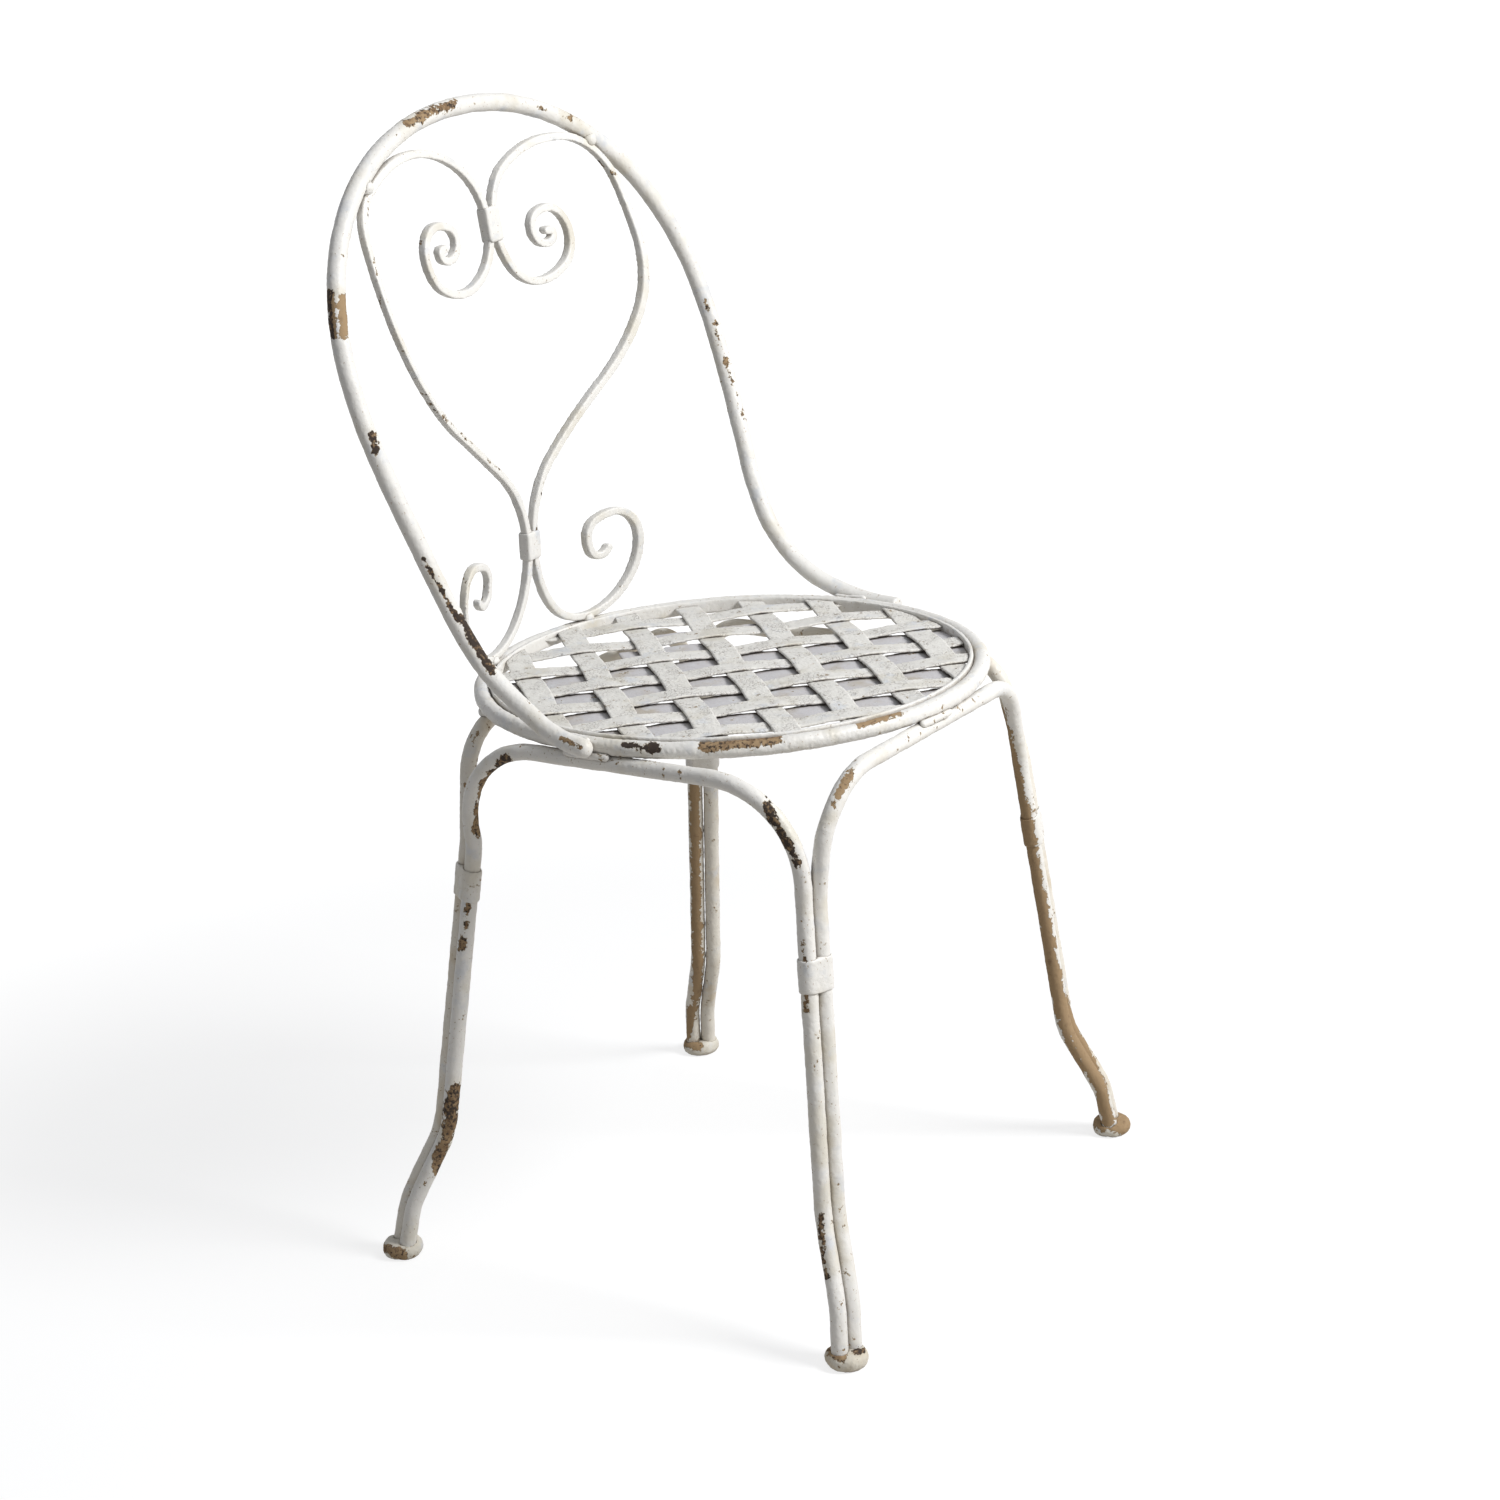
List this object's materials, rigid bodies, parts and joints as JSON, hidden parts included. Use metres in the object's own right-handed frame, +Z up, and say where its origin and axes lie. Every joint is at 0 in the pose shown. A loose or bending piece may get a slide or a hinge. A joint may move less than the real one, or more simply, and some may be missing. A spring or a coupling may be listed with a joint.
{
  "type": "garden chair",
  "caption": "Metal garden chair with a round seat of woven straps, a bent-rod hoop back filled by a heart of scrolls, and splayed legs of doubled rods.",
  "frame": {"origin": "on the floor, under the middle of the chair's bounding box", "axes": "+Z up, -Y towards the front of the chair, +X towards the sitter's left"},
  "size_m": [0.4958, 0.4692, 0.9052],
  "materials": {
    "frame_enamel": "many coats of ivory enamel, chipped to brown rust",
    "strap_enamel": "thick gritty ivory enamel, flaked between the straps",
    "foot_enamel": "worn ivory enamel over rusted iron"
  },
  "bodies": {
    "root": {"back_arch": "frame_enamel", "back_arch_weld": "frame_enamel", "back_hoop": "frame_enamel", "cross_strap_1": "strap_enamel", "cross_strap_2": "strap_enamel", "cross_strap_3": "strap_enamel", "cross_strap_4": "strap_enamel", "cross_strap_5": "strap_enamel", "cross_strap_6": "strap_enamel", "cross_strap_7": "strap_enamel", "foot_back_left": "foot_enamel", "foot_back_right": "foot_enamel", "foot_front_left": "foot_enamel", "foot_front_right": "foot_enamel", "front_arch": "frame_enamel", "front_arch_weld": "frame_enamel", "heart_scroll_left": "frame_enamel", "heart_scroll_right": "frame_enamel", "heart_to_hoop_welds": "frame_enamel", "hoop_welds": "frame_enamel", "left_arch": "frame_enamel", "left_arch_weld": "frame_enamel", "leg_collar_back_left": "frame_enamel", "leg_collar_back_right": "frame_enamel", "leg_collar_front_left": "frame_enamel", "leg_collar_front_right": "frame_enamel", "length_strap_1": "strap_enamel", "length_strap_2": "strap_enamel", "length_strap_3": "strap_enamel", "length_strap_4": "strap_enamel", "length_strap_5": "strap_enamel", "length_strap_6": "strap_enamel", "length_strap_7": "strap_enamel", "lower_scroll_collar": "frame_enamel", "right_arch": "frame_enamel", "right_arch_weld": "frame_enamel", "scroll_foot_welds": "frame_enamel", "seat_rim": "frame_enamel", "seat_ring": "frame_enamel", "stiffener_1": "strap_enamel", "stiffener_2": "strap_enamel", "stiffener_3": "strap_enamel", "stiffener_4": "strap_enamel", "stiffener_5": "strap_enamel", "stiffener_6": "strap_enamel", "upper_scroll_collar": "frame_enamel"}
  },
  "joints": []
}
